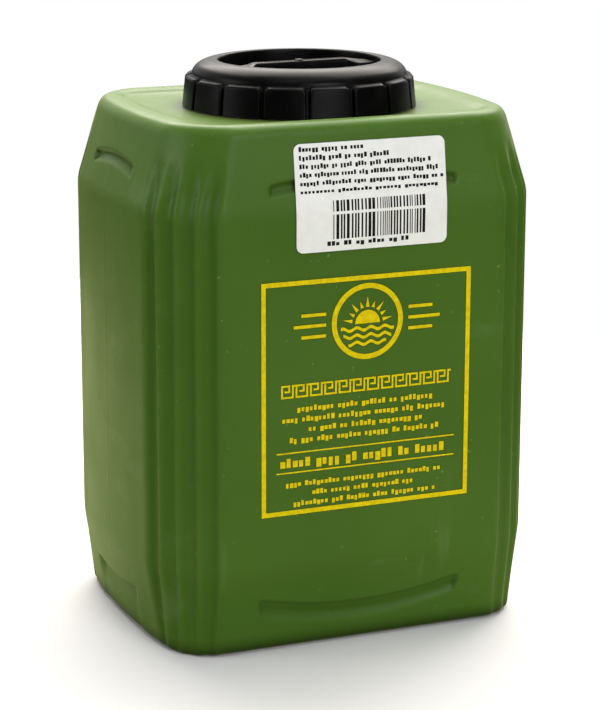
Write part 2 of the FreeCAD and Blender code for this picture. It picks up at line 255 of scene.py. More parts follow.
def bevel_inset(height):
    """Insets of side and front and narrowing of the flats at a height on a bevel."""
    if height < KINK_LOW:
        share = 1 - height / KINK_LOW
        return LOW_LEAN[0] * share, LOW_LEAN[1] * share, 0
    share = (height - KINK_HIGH) / (HEIGHT - KINK_HIGH)
    return HIGH_LEAN[0] * share, HIGH_LEAN[1] * share, share


def control_levels():
    """Height, insets of side and front, narrowing, fluting and scale of each steering outline."""
    fades = [KINK_HIGH + height for height in (FADE[0], sum(FADE) / 2, FADE[1])]
    foot, base, blend = 2 * BASE_ROUND, bevel_inset(0), 2 * KINK_ROUND
    lip = 2 * RIM_ROUND
    deck = (HIGH_LEAN[0] + lip + DECK_SLOPE, HIGH_LEAN[1] + lip + DECK_SLOPE, 1, 0)
    return [
        (0, base[0] + foot, base[1] + foot, 0, BASE_FLUTING, 1),
        (0, *base, BASE_FLUTING, 1),
        (foot, *bevel_inset(foot), (1 + BASE_FLUTING) / 2, 1),
        (KINK_LOW - blend, *bevel_inset(KINK_LOW - blend), 1, 1),
        (KINK_LOW, 0, 0, 0, 1, 1),
        (KINK_LOW + blend, 0, 0, 0, 1, 1),
        (KINK_HIGH - blend, 0, 0, 0, 1, 1),
        (KINK_HIGH, 0, 0, 0, 1, 1),
        (KINK_HIGH + blend, *bevel_inset(KINK_HIGH + blend), 1, 1),
        (fades[0], *bevel_inset(fades[0]), 1, 1),
        (fades[1], *bevel_inset(fades[1]), 0.5, 1),
        (fades[2], *bevel_inset(fades[2]), 0, 1),
        (HEIGHT - lip, *bevel_inset(HEIGHT - lip), 0, 1),
        (HEIGHT, *bevel_inset(HEIGHT), 0, 1),
        (HEIGHT, HIGH_LEAN[0] + lip, HIGH_LEAN[1] + lip, 1, 0, 1),
        (DECK, *deck, 1),
        (DECK, *deck, DECK_EDGE),
        (DECK, *deck, DECK_MIDDLE),
    ]


def spline_weights(count, stations):
    """Weights of count control levels in a clamped, evenly knotted quadratic spline."""
    knots = np.concatenate([[0, 0], np.arange(count - 1), [count - 2, count - 2]]).astype(float)
    stations = np.minimum(stations, count - 2 - 1e-9)
    weights = np.array([(knots[i] <= stations) & (stations < knots[i + 1])
                        for i in range(count + 2)], float)
    for degree in (1, 2):
        raised = []
        for i in range(count + 2 - degree):
            total = np.zeros_like(stations)
            if knots[i + degree] > knots[i]:
                total += (stations - knots[i]) / (knots[i + degree] - knots[i]) * weights[i]
            if knots[i + degree + 1] > knots[i + 1]:
                span = knots[i + degree + 1] - knots[i + 1]
                total += (knots[i + degree + 1] - stations) / span * weights[i + 1]
            raised.append(total)
        weights = np.array(raised)
    return weights.T


def row_stations(levels):
    """Spline stations of the rows: close on the bevels and rounds, wide on the straight walls."""
    dense = np.linspace(0, len(levels) - 2, STATION_SAMPLES)
    steered = np.array([(level[0], level[1], level[5] * DECK_WEIGHT) for level in levels])
    profile = spline_weights(len(levels), dense) @ steered
    step = np.hypot(np.hypot(*np.diff(profile, axis=0)[:, :2].T), np.diff(profile[:, 2]))
    middle = (profile[1:, 0] + profile[:-1, 0]) / 2
    above_low = smooth(KINK_LOW + 6, KINK_LOW + 12, middle)
    above_high = smooth(KINK_HIGH - 12, KINK_HIGH - 6, middle)
    spacing = ROW_SPACING + WALL_SPACING * (above_low * (1 - above_high))
    travelled = np.concatenate([[0], np.cumsum(step / spacing)])
    rows = int(travelled[-1])
    return np.interp(np.linspace(0, travelled[-1], rows + 1), travelled, dense)


# ------------------------------------------------------------------ moulded features of the body
# sections of the grooves near the rim and near the base: (place across the groove, depth)
HIGH_SECTION = [(-3.3, 0), (-2.8, 0.25), (-1.2, 1.6), (0.2, 1.9), (1.6, 1.6), (2.7, 0.5), (3.4, 0)]
LOW_SECTION = [(-2.9, 0), (-2.6, 0.3), (-2.1, 1.0), (2.3, 2.2), (3.0, 2.1), (7.0, 0.2), (8.2, 0)]
# height of a groove's middle, its length, and how far its ends lie above its middle
FRONT_LOW_GROOVE = (19.0, 108.0, 7.2)
FRONT_HIGH_GROOVE = (237.0, 98.0, -4.0)
SIDE_HIGH_GROOVE = (240.3, 56.0, -3.0)      # a little lower than the part's
GROOVE_END_FLAT = 1.1           # half of the straight part of a groove's end
GROOVE_END_ROUND = 1.4
GROOVE_END_EASE = 0.7

POCKET_TOP = 22.5               # height of the pocket's upper edge in its middle
POCKET_RISE = 3.0               # and how much higher it is at half the span from there
POCKET_SPAN = 60.0
POCKET_REACH = 31.5
POCKET_DEPTH = 2.1
POCKET_FADE = 0.75              # share of the depth that is lost towards the base
NOTCH_LIFT = 2.6                # the base edge under a pocket
NOTCH_END = (15.5, 17.0)
NOTCH_INNER = (82, 84)

WAVE_DEPTH = 0.07
SECOND_WAVE = 0.6
FRONT_PHASE = 0.7
SIDE_PHASE = 1.9
EDGE_TOLERANCE = 0.01
RIM_CLEARANCE = 4


def groove(along, height, middle, length, rise, upper):
    """Depth of a curved groove at each point; the section of a lower groove runs downward."""
    line = middle + rise * (2 * along / length) ** 2
    across = height - line if upper else line - height
    depth = np.interp(across, *zip(*(HIGH_SECTION if upper else LOW_SECTION)))
    reach = length / 2 - np.abs(along)
    past_flat = np.clip(np.abs(across) - GROOVE_END_FLAT, 0, GROOVE_END_ROUND)
    corner = past_flat**2 / (2 * GROOVE_END_ROUND)
    return depth * smooth(-GROOVE_END_EASE, GROOVE_END_EASE, reach - corner)


def finger_pocket(along, height):
    """Depth of the shallow pocket that begins at a curved line and runs out towards the base."""
    line = POCKET_TOP + POCKET_RISE * (2 * along / POCKET_SPAN) ** 2
    below = line - height
    step = smooth(-0.8, 1.0, below) * (1 - POCKET_FADE * smooth(1.5, 13, below))
    return POCKET_DEPTH * step * smooth(-1, 8, POCKET_REACH - np.abs(along))


def waviness(across, height, phase):
    """Slight unevenness of a blow-moulded wall, always inward."""
    wave = np.sin(across / 23 + phase) * np.sin(height / 31 + 2 * phase)
    wave += SECOND_WAVE * np.sin(across / 13 - height / 41 + phase * 3)
    return WAVE_DEPTH * (wave + (1 + SECOND_WAVE))


def inner_share(along, height, flat):
    """1 inside a wall and 0 at its upright edges, its base and its rim."""
    return (smooth(0, 12, flat / 2 - np.abs(along)) * smooth(2, 14, height)
            * smooth(2, 14, HEIGHT - height))


def seam_rise(across):
    """Height of the soft ridge along the parting line."""
    return SEAM_SOFT * (1 - smooth(0.1, 1.0, np.abs(across) / SEAM_WIDTH))


def press_features(points):
    """Moves wall points for the grooves, pockets, parting line and unevenness of the walls."""
    x, y, z = points.T
    under_rim = z < HEIGHT - RIM_CLEARANCE
    for sign in (-1, 1):
        on_flat = np.abs(x) < FRONT_FLAT / 2 + EDGE_TOLERANCE
        wall = on_flat & (y * sign > HALF_DEPTH / 2) & under_rim
        depth = groove(x, z, *FRONT_LOW_GROOVE, False) + groove(x, z, *FRONT_HIGH_GROOVE, True)
        depth = depth + waviness(x, z, FRONT_PHASE * sign) * inner_share(x, z, FRONT_FLAT)
        points[:, 1] -= np.where(wall, depth * sign, 0)
    for sign in (-1, 1):
        on_flat = np.abs(y) < SIDE_FLAT / 2 + EDGE_TOLERANCE
        wall = on_flat & (x * sign > HALF_WIDTH / 2) & under_rim
        depth = groove(y, z, *SIDE_HIGH_GROOVE, True) + finger_pocket(y, z)
        depth = depth + waviness(y, z, SIDE_PHASE * sign) * inner_share(y, z, SIDE_FLAT)
        seam = seam_rise(y) * smooth(*SEAM_START, z)
        points[:, 0] -= np.where(wall, (depth - seam) * sign, 0)
    return points


def raise_base_edge(points):
    """Lifts the base edge a little inside each finger pocket."""
    x, y, z = points.T
    lift = NOTCH_LIFT * (1 - smooth(*NOTCH_END, np.abs(y))) * smooth(*NOTCH_INNER, np.abs(x))
    points[:, 2] = np.maximum(z, lift)
    return points


def raise_deck_seam(points):
    """Carries the parting line over the rim and the deck to the neck."""
    x, y, z = points.T
    points[:, 2] += seam_rise(y) * smooth(DECK - 2, DECK - 0.5, z)
    return points


def make_body(material):
    """The canister: outlines blended up a spline, with the moulded features pressed in."""
    levels = control_levels()
    outlines = np.array([outline(*plan) for z, *plan in levels])
    weights = spline_weights(len(levels), row_stations(levels))
    rows, columns = len(weights), outlines.shape[1]
    plan = np.einsum("rl,lcd->rcd", weights, outlines)
    heights = weights @ np.array([level[0] for level in levels], float)
    points = np.concatenate([plan, np.repeat(heights[:, None, None], columns, 1)], axis=2)
    base = points[:1] * np.array([BASE_INNER, BASE_INNER, 1])
    points = np.concatenate([base, points]).reshape(-1, 3)
    points = raise_deck_seam(raise_base_edge(press_features(points)))
    faces = tube_faces(rows + 1, columns)
    make_piece("canister", points, faces, material, "body", replaces=["body"])


def lathe(name, profile, steps, material, slot):
    """A turned piece from (radius, height) pairs that run up its outside; both ends are closed."""
    angles = 2 * math.pi * np.arange(steps) / steps
    points = [(r * math.cos(a), r * math.sin(a), z) for r, z in profile for a in angles]
    make_piece(name, points, tube_faces(len(profile), steps), material, slot)


def make_neck(material):
    """The short neck that shows in the gap under the cap's skirt; its foot is sunk in the deck."""
    radius = SKIRT_RADIUS - NECK_INSET
    foot = DECK - 1.5
    profile = [(radius + 1.5, foot), (radius + 0.4, foot + 1.0), (radius, foot + 1.8),
               (radius, CAP_LOW.z + 0.5)]
    lathe("neck", profile, 96, material, "body")


# ------------------------------------------------------------------ cap
def cap_profile():
    """(radius, height) points from the skirt's foot over the crown to the middle of the recess."""
    wall = SKIRT_RADIUS - LUG_DEPTH
    springing = CAP_HEIGHT - CROWN_RISE
    floor = CAP_HEIGHT - RECESS_DEPTH
    foot_rows, top_rows = np.linspace(1.5, 9.5, 6), np.linspace(10, LUG_TOP, 10)
    heights = np.concatenate([[0.0, 0.25, 0.7], foot_rows, top_rows])
    skirt = [(wall - SKIRT_DRAFT * h / LUG_TOP, h) for h in heights]
    skirt.append((CROWN_OUTER + 0.3, springing - 0.6))
    crown_inner = RECESS_RADIUS + RECESS_ROUND
    width = CROWN_OUTER - crown_inner
    crown = [(crown_inner + width * math.cos(t), springing + CROWN_RISE * math.sin(t))
             for t in np.linspace(0, math.pi / 2, 26)]
    lip = [(crown_inner - RECESS_ROUND * math.sin(t), CAP_HEIGHT - RECESS_ROUND * (1 - math.cos(t)))
           for t in np.linspace(0, math.pi / 2, 7)[1:]]
    inner = [(RECESS_RADIUS, CAP_HEIGHT - 3.5), (RECESS_RADIUS, floor + 5)]
    fillet = [(RECESS_RADIUS - RECESS_FILLET + RECESS_FILLET * math.cos(t),
               floor + RECESS_FILLET - RECESS_FILLET * math.sin(t))
              for t in np.linspace(0, math.pi / 2, 8)]
    middle = [(r, floor) for r in (30.0, 15.0, 1.0)]
    return np.array([(wall - SKIRT_WALL, 0.0)] + skirt + crown + lip + inner + fillet + middle)


def lug_radius(height):
    """Outer radius of the lugs: a drafted face and a sloping shoulder."""
    face = SKIRT_RADIUS - SKIRT_DRAFT * np.minimum(height, LUG_TOP) / LUG_TOP
    up = np.maximum(height - LUG_TOP, 0)
    return face - up * up / (up + LUG_SHOULDER_BLEND)


def lug_share(around, height):
    """1 on a lug and 0 in the gaps, which flare at the top; around is measured from its middle."""
    half = math.pi * SKIRT_RADIUS / LUGS - LUG_GAP / 2
    side = np.maximum(np.abs(around) - half + LUG_CORNER, 0)
    top = np.maximum(height - LUG_TOP - LUG_ROUND + LUG_CORNER, 0)
    edge = LUG_CORNER - np.hypot(side, top)
    inside = half - np.abs(around)
    edge = np.where(top > 0, edge, inside)
    return smooth(*LUG_FLANK, edge) * (1 - LUG_EDGE_DROP * smooth(*LUG_EDGE, edge))


def lug_columns():
    """Angles of the columns, close together at the lugs' edges, and each from its lug's middle."""
    half = math.pi / LUGS
    fine = LUG_EDGE_BAND / SKIRT_RADIUS
    local = np.concatenate([
        np.linspace(-half, -half + fine, 15),
        np.linspace(-half + fine, half - fine, 8)[1:-1],
        np.linspace(half - fine, half, 15)[:-1],
    ])
    angles = np.concatenate([local + 2 * half * (number + 0.5) for number in range(LUGS)])
    return angles, np.tile(local, LUGS)


def make_cap(material):
    """The cap: a turned profile whose skirt stands out at the lugs."""
    profile = cap_profile()
    angles, local = lug_columns()
    radius, height = profile[:, 0][:, None], profile[:, 1][:, None]
    lugged = (radius > CROWN_OUTER - 3) & (height < LUG_TOP + LUG_ROUND)
    proud = np.where(lugged, np.maximum(lug_radius(height) - radius, 0), 0)
    radius = radius + proud * lug_share(local * SKIRT_RADIUS, height)
    turned = angles + CAP_TURN
    x, y = radius * np.cos(turned), radius * np.sin(turned)
    z = np.broadcast_to(height + CAP_LOW.z, x.shape)
    points = np.stack([x, y, z], axis=2).reshape(-1, 3)
    faces = tube_faces(len(profile), len(angles))
    make_piece("screw_cap", points, faces, material, "cap", replaces=["cap"])


def bar_outline(inset):
    """Plan outline of the grip bar with its widened feet, anticlockwise."""
    half = BAR_HALF - inset
    foot = BAR_FOOT - inset
    reach = RECESS_RADIUS - BAR_CLEARANCE
    start = reach - BAR_FOOT_LENGTH
    quarter = []
    for share in np.linspace(0, 1, 9):
        blend = share * share * (3 - 2 * share)
        quarter.append((start - 4 + 6.5 * share, half + (foot - half) * blend))
    end = math.sqrt(reach * reach - foot * foot)
    quarter += [(end, foot), (math.sqrt(reach * reach - foot * foot / 4), foot / 2)]
    right = [(x, -y) for x, y in quarter] + [(reach, 0)] + [(x, y) for x, y in reversed(quarter)]
    return np.array(right + [(-x, -y) for x, y in right])


def make_grip_bar(material):
    """The bar across the recess, lower at its feet, with the small moulding nub in its middle."""
    floor = CAP_HIGH.z - RECESS_DEPTH - 0.5
    top = CAP_HIGH.z - BAR_BELOW_CROWN
    rings = [(floor, 0.0), (top - 2.4, 0.0), (top - 1.7, 0.0), (top - 1.2, 0.05),
             (top - 0.45, 0.25), (top - 0.1, 0.7), (top, 1.3)]
    points = []
    for height, inset in rings:
        plan = bar_outline(inset)
        lowered = smooth(RECESS_RADIUS - 17, RECESS_RADIUS - 11, np.abs(plan[:, 0]))
        drop = BAR_FOOT_DROP * lowered
        for (x, y), lower in zip(plan, drop):
            points.append((x, y, height if height == floor else height - lower))
    columns = len(bar_outline(0))
    faces = grid_faces(len(rings), columns, True)
    last = (len(rings) - 1) * columns
    faces.append(tuple(range(last, last + columns)))
    points = np.array(points)
    cosine, sine = math.cos(CAP_TURN), math.sin(CAP_TURN)
    turn = np.array([[cosine, -sine], [sine, cosine]])
    points[:, :2] = points[:, :2] @ turn.T
    make_piece("grip_bar", points, faces, material, "cap")
    profile = [(2.2, top - 1), (2.2, top + 0.2), (1.9, top + 0.42), (1.2, top + 0.5),
               (0.4, top + 0.5)]
    lathe("nub", profile, 24, material, "cap")


# ------------------------------------------------------------------ front surface and flat marks
def front_line():
    """Heights and depths (Y) up the front wall, for what is stuck or printed on it."""
    levels = control_levels()
    base_edge, rim = 1, len(levels) - 4
    weights = spline_weights(len(levels), np.linspace(base_edge, rim, 800))
    profile = weights @ np.array([(level[0], HALF_DEPTH - level[2]) for level in levels], float)
    return profile[:, 0], -profile[:, 1]


FRONT_Z, FRONT_Y = front_line()


def front_depth(height):
    """Y of the front wall at a height."""
    return np.interp(height, FRONT_Z, FRONT_Y)


def sheet(name, left, bottom, width, height, corner, lift, thickness, material, slot, **options):
    """A thin sheet with rounded corners on the front wall, which follows its kink."""
    rounding = corner * (1 - np.cos(np.linspace(0, math.pi / 2, 9)))
    columns = np.unique(np.concatenate([
        left + rounding,
        np.linspace(left + corner, left + width - corner, 20),
        left + width - rounding,
    ]).round(6))
    rows = 60
    edge = np.minimum(columns - left, left + width - columns)
    rounded = corner - np.sqrt(np.maximum(corner**2 - (corner - edge) ** 2, 0))
    cut = np.where(edge < corner, rounded, 0)
    points = []
    for depth in (lift, lift + thickness):
        for row in range(rows):
            share = row / (rows - 1)
            z = bottom + cut + share * (height - 2 * cut)
            y = front_depth(z) - depth
            points += list(zip(columns, y, z))
    count = len(columns)
    outer = rows * count
    faces = [tuple(outer + i for i in face) for face in grid_faces(rows, count, False)]
    faces += [face[::-1] for face in grid_faces(rows, count, False)]
    rim = list(range(count)) + [row * count + count - 1 for row in range(1, rows)]
    rim += [(rows - 1) * count + i for i in range(count - 2, -1, -1)]
    rim += [row * count for row in range(rows - 2, 0, -1)]
    for a, b in zip(rim, rim[1:] + rim[:1]):
        faces.append((a, b, b + outer, a + outer))
    make_piece(name, points, faces, material, slot, smooth_shading=False, **options)


class Marks:
    """Collects thin flat shapes on the front wall; each is a prism from a convex outline."""

    def __init__(self, lift, thickness):
        self.lift = lift
        self.thickness = thickness
        self.points = []
        self.faces = []

    def shape(self, outline):
        """Adds a convex shape from its (x, z) outline, anticlockwise as seen from the front."""
        start = len(self.points)
        count = len(outline)
        for depth in (self.lift, self.lift + self.thickness):
            for x, z in outline:
                self.points.append((x, float(front_depth(z)) - depth, z))
        self.faces.append(tuple(start + count + i for i in range(count)))
        self.faces.append(tuple(start + i for i in reversed(range(count))))
        for i in range(count):
            j = (i + 1) % count
            self.faces.append((start + i, start + j, start + count + j, start + count + i))

    def bar(self, left, bottom, width, height):
        """Adds an upright rectangle, in short pieces so that a tall one follows the wall's kink."""
        count = max(1, math.ceil(height / 2))
        step = height / count
        for number in range(count):
            low, high = bottom + number * step, bottom + (number + 1) * step
            self.shape([(left, low), (left + width, low), (left + width, high), (left, high)])

    def strip(self, lower, upper):
        """Adds a ribbon between two point rows that run left to right."""
        for (a, b), (c, d) in zip(zip(lower, lower[1:]), zip(upper, upper[1:])):
            self.shape([a, b, d, c])

    def ring(self, x, z, outer, inner, steps, sweep):
        """Adds the band between two radii, anticlockwise from the right by the sweep."""
        turns = [sweep * i / steps for i in range(steps + 1)]
        lower = [(x + outer * math.cos(t), z + outer * math.sin(t)) for t in turns]
        upper = [(x + inner * math.cos(t), z + inner * math.sin(t)) for t in turns]
        self.strip(lower, upper)

    def piece(self, name, material, slot):
        """Makes one piece of all the shapes."""
        make_piece(name, self.points, self.faces, material, slot, smooth_shading=False)


TICK_SPANS = ((0, 0.72), (0, 0.72), (0, 1), (-0.25, 0.72))   # bottom and top, in line heights
TICK_WIDTHS = (0.6, 0.85)                                    # in pitches
GROUP_SIZES = (2, 9)
GROUP_GAP = 0.8


def line_of_ticks(marks, rng, left, right, bottom, height, pitch):
    """A row of small blocks in seeded groups, as fine as a printed line of that height."""
    x = left
    while x < right - pitch:
        for _ in range(rng.randint(*GROUP_SIZES)):
            if x > right - pitch:
                break
            low, high = rng.choice(TICK_SPANS)
            width = pitch * rng.uniform(*TICK_WIDTHS)
            marks.bar(x, bottom + low * height, width, (high - low) * height)
            x += pitch
        x += pitch * GROUP_GAP


def meander(marks, left, bottom, unit, count):
    """A running key pattern; each repeat is eight units wide and seven high."""
    for number in range(count):
        x = left + number * 8 * unit
        marks.bar(x, bottom, 7 * unit, unit)
        marks.bar(x, bottom + unit, unit, 6 * unit)
        marks.bar(x + unit, bottom + 6 * unit, 4 * unit, unit)
        marks.bar(x + 4 * unit, bottom + 3 * unit, unit, 3 * unit)
        marks.bar(x + 2 * unit, bottom + 3 * unit, 2 * unit, unit)
        marks.bar(x + 6 * unit, bottom + unit, unit, 6 * unit)
        marks.bar(x + 7 * unit, bottom + 6 * unit, unit, unit)


def emblem(marks, x, z):
    """A round seal: half a sun with rays over three waves, between two stacks of short rules."""
    marks.ring(x, z, 19.0, 16.4, 96, 2 * math.pi)
    sun = np.array([x, z - 1])
    marks.ring(*sun, 6.6, 0.01, 32, math.pi)
    ray_foot, ray_tips, ray_half = 8.2, (13.4, 11.6), 0.95
    for number in range(9):
        turn = math.radians(10 + 20 * number)
        along = np.array([math.cos(turn), math.sin(turn)])
        aside = np.array([-along[1], along[0]]) * ray_half
        foot, tip = sun + along * ray_foot, sun + along * ray_tips[number % 2]
        marks.shape([tuple(foot - aside), tuple(tip), tuple(foot + aside)])
    wave_radius, wave_drop, wave_height, wave_length, wave_half = 15.2, 3.6, 0.75, 7.5, 0.8
    for number in range(3):
        level = z - wave_drop - wave_drop * number
        half = math.sqrt(wave_radius**2 - (level - z) ** 2) - 0.6
        xs = np.linspace(-half, half, 41)
        wave = level + wave_height * np.sin(xs * 2 * math.pi / wave_length)
        marks.strip([(x + a, b - wave_half) for a, b in zip(xs, wave)],
                    [(x + a, b + wave_half) for a, b in zip(xs, wave)])
    rule_start, rule_bottom, rule_step, rule_width = 22.0, 6.2, 5.4, 1.6
    for side in (-1, 1):
        for number, length in enumerate((13.0, 17.0, 13.0)):
            near = x + side * rule_start
            left = near if side > 0 else near - length
            marks.bar(left, z - rule_bottom + rule_step * number, length, rule_width)


def make_print(material):
    """The yellow screen print: border, seal, key pattern and rows of blocks."""
    marks = Marks(lift=0.0, thickness=0.06)
    left, right, bottom, top, line = -54.3, 57.3, 71.8, 189.0, 2.3
    marks.bar(left, bottom, right - left, line)
    marks.bar(left, top - line, right - left, line)
    marks.bar(left, bottom + line, line, top - bottom - 2 * line)
    marks.bar(right - line, bottom + line, line, top - bottom - 2 * line)
    centre = (left + right) / 2
    emblem(marks, centre, 166.0)
    unit, count = 0.95, 12
    meander(marks, centre - count * 4 * unit, 131.0, unit, count)
    rng = random.Random(11)

    def centred_line(half, level, height, pitch):
        line_of_ticks(marks, rng, centre - half, centre + half, level, height, pitch)

    rule_half, rule_width = 48, 0.7
    for number, half in enumerate((37, 45, 31, 41)):
        centred_line(half, 124.0 - 5.2 * number, 2.7, 2.2)
    marks.bar(centre - rule_half, 103.0, 2 * rule_half, rule_width)
    centred_line(46, 96.0, 4.6, 3.3)
    marks.bar(centre - rule_half, 93.0, 2 * rule_half, rule_width)
    for number, half in enumerate((43, 29, 39)):
        centred_line(half, 86.2 - 5.0 * number, 2.5, 2.1)
    marks.piece("front_print", material, "print")


def make_label_marks(material):
    """Dark rows of small blocks and a field of upright bars of seeded widths on the paper label."""
    marks = Marks(lift=LABEL_LIFT + LABEL_THICKNESS, thickness=0.04)
    rng = random.Random(5)
    edge, top, bottom = LABEL_LOW.x, LABEL_HIGH.z, LABEL_LOW.z
    left = edge + 2.6
    # length, distance under the label's top, height and pitch
    rows = ((34.5, 3.7, 2.3, 1.75), (50.0, 7.8, 2.3, 1.75), (71.0, 11.8, 2.2, 1.6),
            (75.0, 15.8, 2.2, 1.6), (76.0, 19.8, 2.1, 1.7), (76.0, 23.6, 1.7, 2.0))
    for length, drop, height, pitch in rows:
        line_of_ticks(marks, rng, left, left + length, top - drop, height, pitch)
    x, end = edge + 19.1, edge + 67.3
    while x < end:
        width = rng.choice((0.5, 0.5, 0.9, 0.9, 1.5))
        marks.bar(x, bottom + 5.8, width, 12.0)
        marks.bar(x, bottom + 19.2, width, 5.4)
        x += width + rng.choice((0.55, 0.8, 1.1))
    line_of_ticks(marks, rng, edge + 16.0, edge + 62.0, bottom + 2.7, 2.2, 2.3)
    marks.piece("label_marks", material, "label_print")


# ------------------------------------------------------------------ materials
def new_material(name):
    """A material, its nodes and links, its shader, and object coordinates to place patterns by."""
    material = bpy.data.materials.new(name)
    material.use_nodes = True
    nodes = material.node_tree.nodes
    place = nodes.new("ShaderNodeTexCoord").outputs["Object"]
    return material, nodes, material.node_tree.links, nodes["Principled BSDF"], place


def grey(value):
    """A neutral colour."""
    return (value, value, value)


def noise(nodes, links, coordinates, scale, detail, stretch=None):
    """A noise texture; stretch scales each axis on its own."""
    texture = nodes.new("ShaderNodeTexNoise")
    texture.inputs["Scale"].default_value = scale
    texture.inputs["Detail"].default_value = detail
    source = coordinates
    if stretch:
        mapping = nodes.new("ShaderNodeMapping")
        mapping.inputs["Scale"].default_value = stretch
        links.new(coordinates, mapping.inputs["Vector"])
        source = mapping.outputs["Vector"]
    links.new(source, texture.inputs["Vector"])
    return texture.outputs["Fac"]


def ramp(nodes, links, source, low, high):
    """A colour ramp between two (position, colour) stops."""
    node = nodes.new("ShaderNodeValToRGB")
    for element, (position, colour) in zip(node.color_ramp.elements, (low, high)):
        element.position = position
        element.color = (*colour, 1)
    links.new(source, node.inputs["Fac"])
    return node.outputs["Color"]


def tones(nodes, links, coordinates, scale, detail, low, high, stretch=None):
    """A noise texture read through a colour ramp."""
    texture = noise(nodes, links, coordinates, scale, detail, stretch)
    return ramp(nodes, links, texture, low, high)


def mix(nodes, links, factor, first, second):
    """The first colour where factor is 0, the second where it is 1; each is a value or a socket."""
    node = nodes.new("ShaderNodeMix")
    node.data_type = "RGBA"
    links.new(factor, node.inputs["Factor"])
    for socket, value in ((node.inputs[6], first), (node.inputs[7], second)):
        if isinstance(value, tuple):
            socket.default_value = (*value, 1)
        else:
            links.new(value, socket)
    return node.outputs[2]


def combine(nodes, links, operation, first, second):
    """Two sockets by a math operation, held between 0 and 1."""
    node = nodes.new("ShaderNodeMath")
    node.operation = operation
    node.use_clamp = True
    links.new(first, node.inputs[0])
    links.new(second, node.inputs[1])
    return node.outputs[0]


def remap(nodes, links, source, low, high):
    """0 where source is low, 1 where it is high, with a smooth step between."""
    node = nodes.new("ShaderNodeMapRange")
    node.interpolation_type = "SMOOTHSTEP"
    node.inputs["From Min"].default_value = low
    node.inputs["From Max"].default_value = high
    links.new(source, node.inputs["Value"])
    return node.outputs["Result"]


def bump(nodes, links, height, strength, distance):
    """A normal that is disturbed as if the surface rose by distance where height is 1."""
    node = nodes.new("ShaderNodeBump")
    node.inputs["Strength"].default_value = strength
    node.inputs["Distance"].default_value = distance
    links.new(height, node.inputs["Height"])
    return node.outputs["Normal"]


def scuffs(nodes, links, place):
    """How worn each spot is: long upright rubs in places, broad smears and fine specks."""
    rubs = tones(nodes, links, place, 75, 4, (0.64, grey(0)), (0.74, grey(1)), (1, 1, 0.045))
    where = tones(nodes, links, place, 11, 2, (0.52, grey(0)), (0.68, grey(0.22)))
    smears = tones(nodes, links, place, 26, 5, (0.62, grey(0)), (0.74, grey(0.12)), (0.5, 1, 1.6))
    specks = tones(nodes, links, place, 380, 1, (0.77, grey(0)), (0.81, grey(0.45)))
    upright = combine(nodes, links, "MULTIPLY", rubs, where)
    return combine(nodes, links, "ADD", combine(nodes, links, "ADD", upright, smears), specks)


GREEN = (0.049, 0.110, 0.013), (0.057, 0.123, 0.016)     # the darker and lighter clouds
# near-black green that the creases are painted towards, as painted shade
CREASE_SHADE = (0.018, 0.040, 0.004)
WORN_GREEN = (0.24, 0.30, 0.17)
CREVICE_REACH = 0.010


def green_plastic():
    """Satin polyethylene: clouds in the colour, painted shade in the creases, pale wear, fine
    orange peel.
    """
    material, nodes, links, shader, place = new_material("green_hdpe")
    colour = tones(nodes, links, place, 14, 2, (0.3, GREEN[0]), (0.7, GREEN[1]))
    worn = scuffs(nodes, links, place)
    # painted shade: where ambient occlusion finds creases, such as the valleys of the flutes, the
    # colour is darkened towards the near-black green
    crevices = nodes.new("ShaderNodeAmbientOcclusion")
    crevices.inputs["Distance"].default_value = CREVICE_REACH
    crevices.samples = 8
    painted_shade = ramp(nodes, links, crevices.outputs["AO"], (0.66, grey(0.85)), (0.97, grey(0.0)))
    shaded_colour = mix(nodes, links, painted_shade, colour, CREASE_SHADE)
    links.new(mix(nodes, links, worn, shaded_colour, WORN_GREEN), shader.inputs["Base Color"])
    rough = tones(nodes, links, place, 45, 3, (0.3, grey(0.34)), (0.7, grey(0.42)))
    links.new(rough, shader.inputs["Roughness"])
    peel = noise(nodes, links, place, 420, 2)
    links.new(bump(nodes, links, peel, 0.12, 0.0004), shader.inputs["Normal"])
    shader.inputs["Specular IOR Level"].default_value = 0.10
    shader.inputs["Sheen Weight"].default_value = 0.10
    shader.inputs["Sheen Roughness"].default_value = 0.35
    shader.inputs["Sheen Tint"].default_value = (1.0, 1.0, 0.4, 1)
    return material


def black_plastic():
    """Black moulded polypropylene: satin, with fine grain and a few faint grey rubs."""
    material, nodes, links, shader, place = new_material("black_pp")
    rubs = tones(nodes, links, place, 70, 4, (0.5, grey(0.0015)), (0.8, grey(0.006)))
    links.new(rubs, shader.inputs["Base Color"])
    rough = tones(nodes, links, place, 30, 3, (0.3, grey(0.30)), (0.7, grey(0.38)))
    links.new(rough, shader.inputs["Roughness"])
    grain = noise(nodes, links, place, 900, 2)
    links.new(bump(nodes, links, grain, 0.15, 0.0002), shader.inputs["Normal"])
    shader.inputs["Specular IOR Level"].default_value = 0.06
    return material


def paper():
    """Coated label paper, a cool white that is faintly mottled."""
    material, nodes, links, shader, place = new_material("label_paper")
    fibres = noise(nodes, links, place, 220, 4)
    colour = ramp(nodes, links, fibres, (0.3, (0.71, 0.71, 0.72)), (0.7, (0.77, 0.77, 0.78)))
    links.new(colour, shader.inputs["Base Color"])
    links.new(bump(nodes, links, fibres, 0.15, 0.0001), shader.inputs["Normal"])
    shader.inputs["Roughness"].default_value = 0.55
    return material


def ink(name, dark, light, roughness):
    """Printed ink whose colour is a little uneven."""
    material, nodes, links, shader, place = new_material(name)
    mottle = tones(nodes, links, place, 500, 4, (0.35, dark), (0.6, light))
    links.new(mottle, shader.inputs["Base Color"])
    shader.inputs["Roughness"].default_value = roughness
    shader.inputs["Specular IOR Level"].default_value = 0.10
    return material


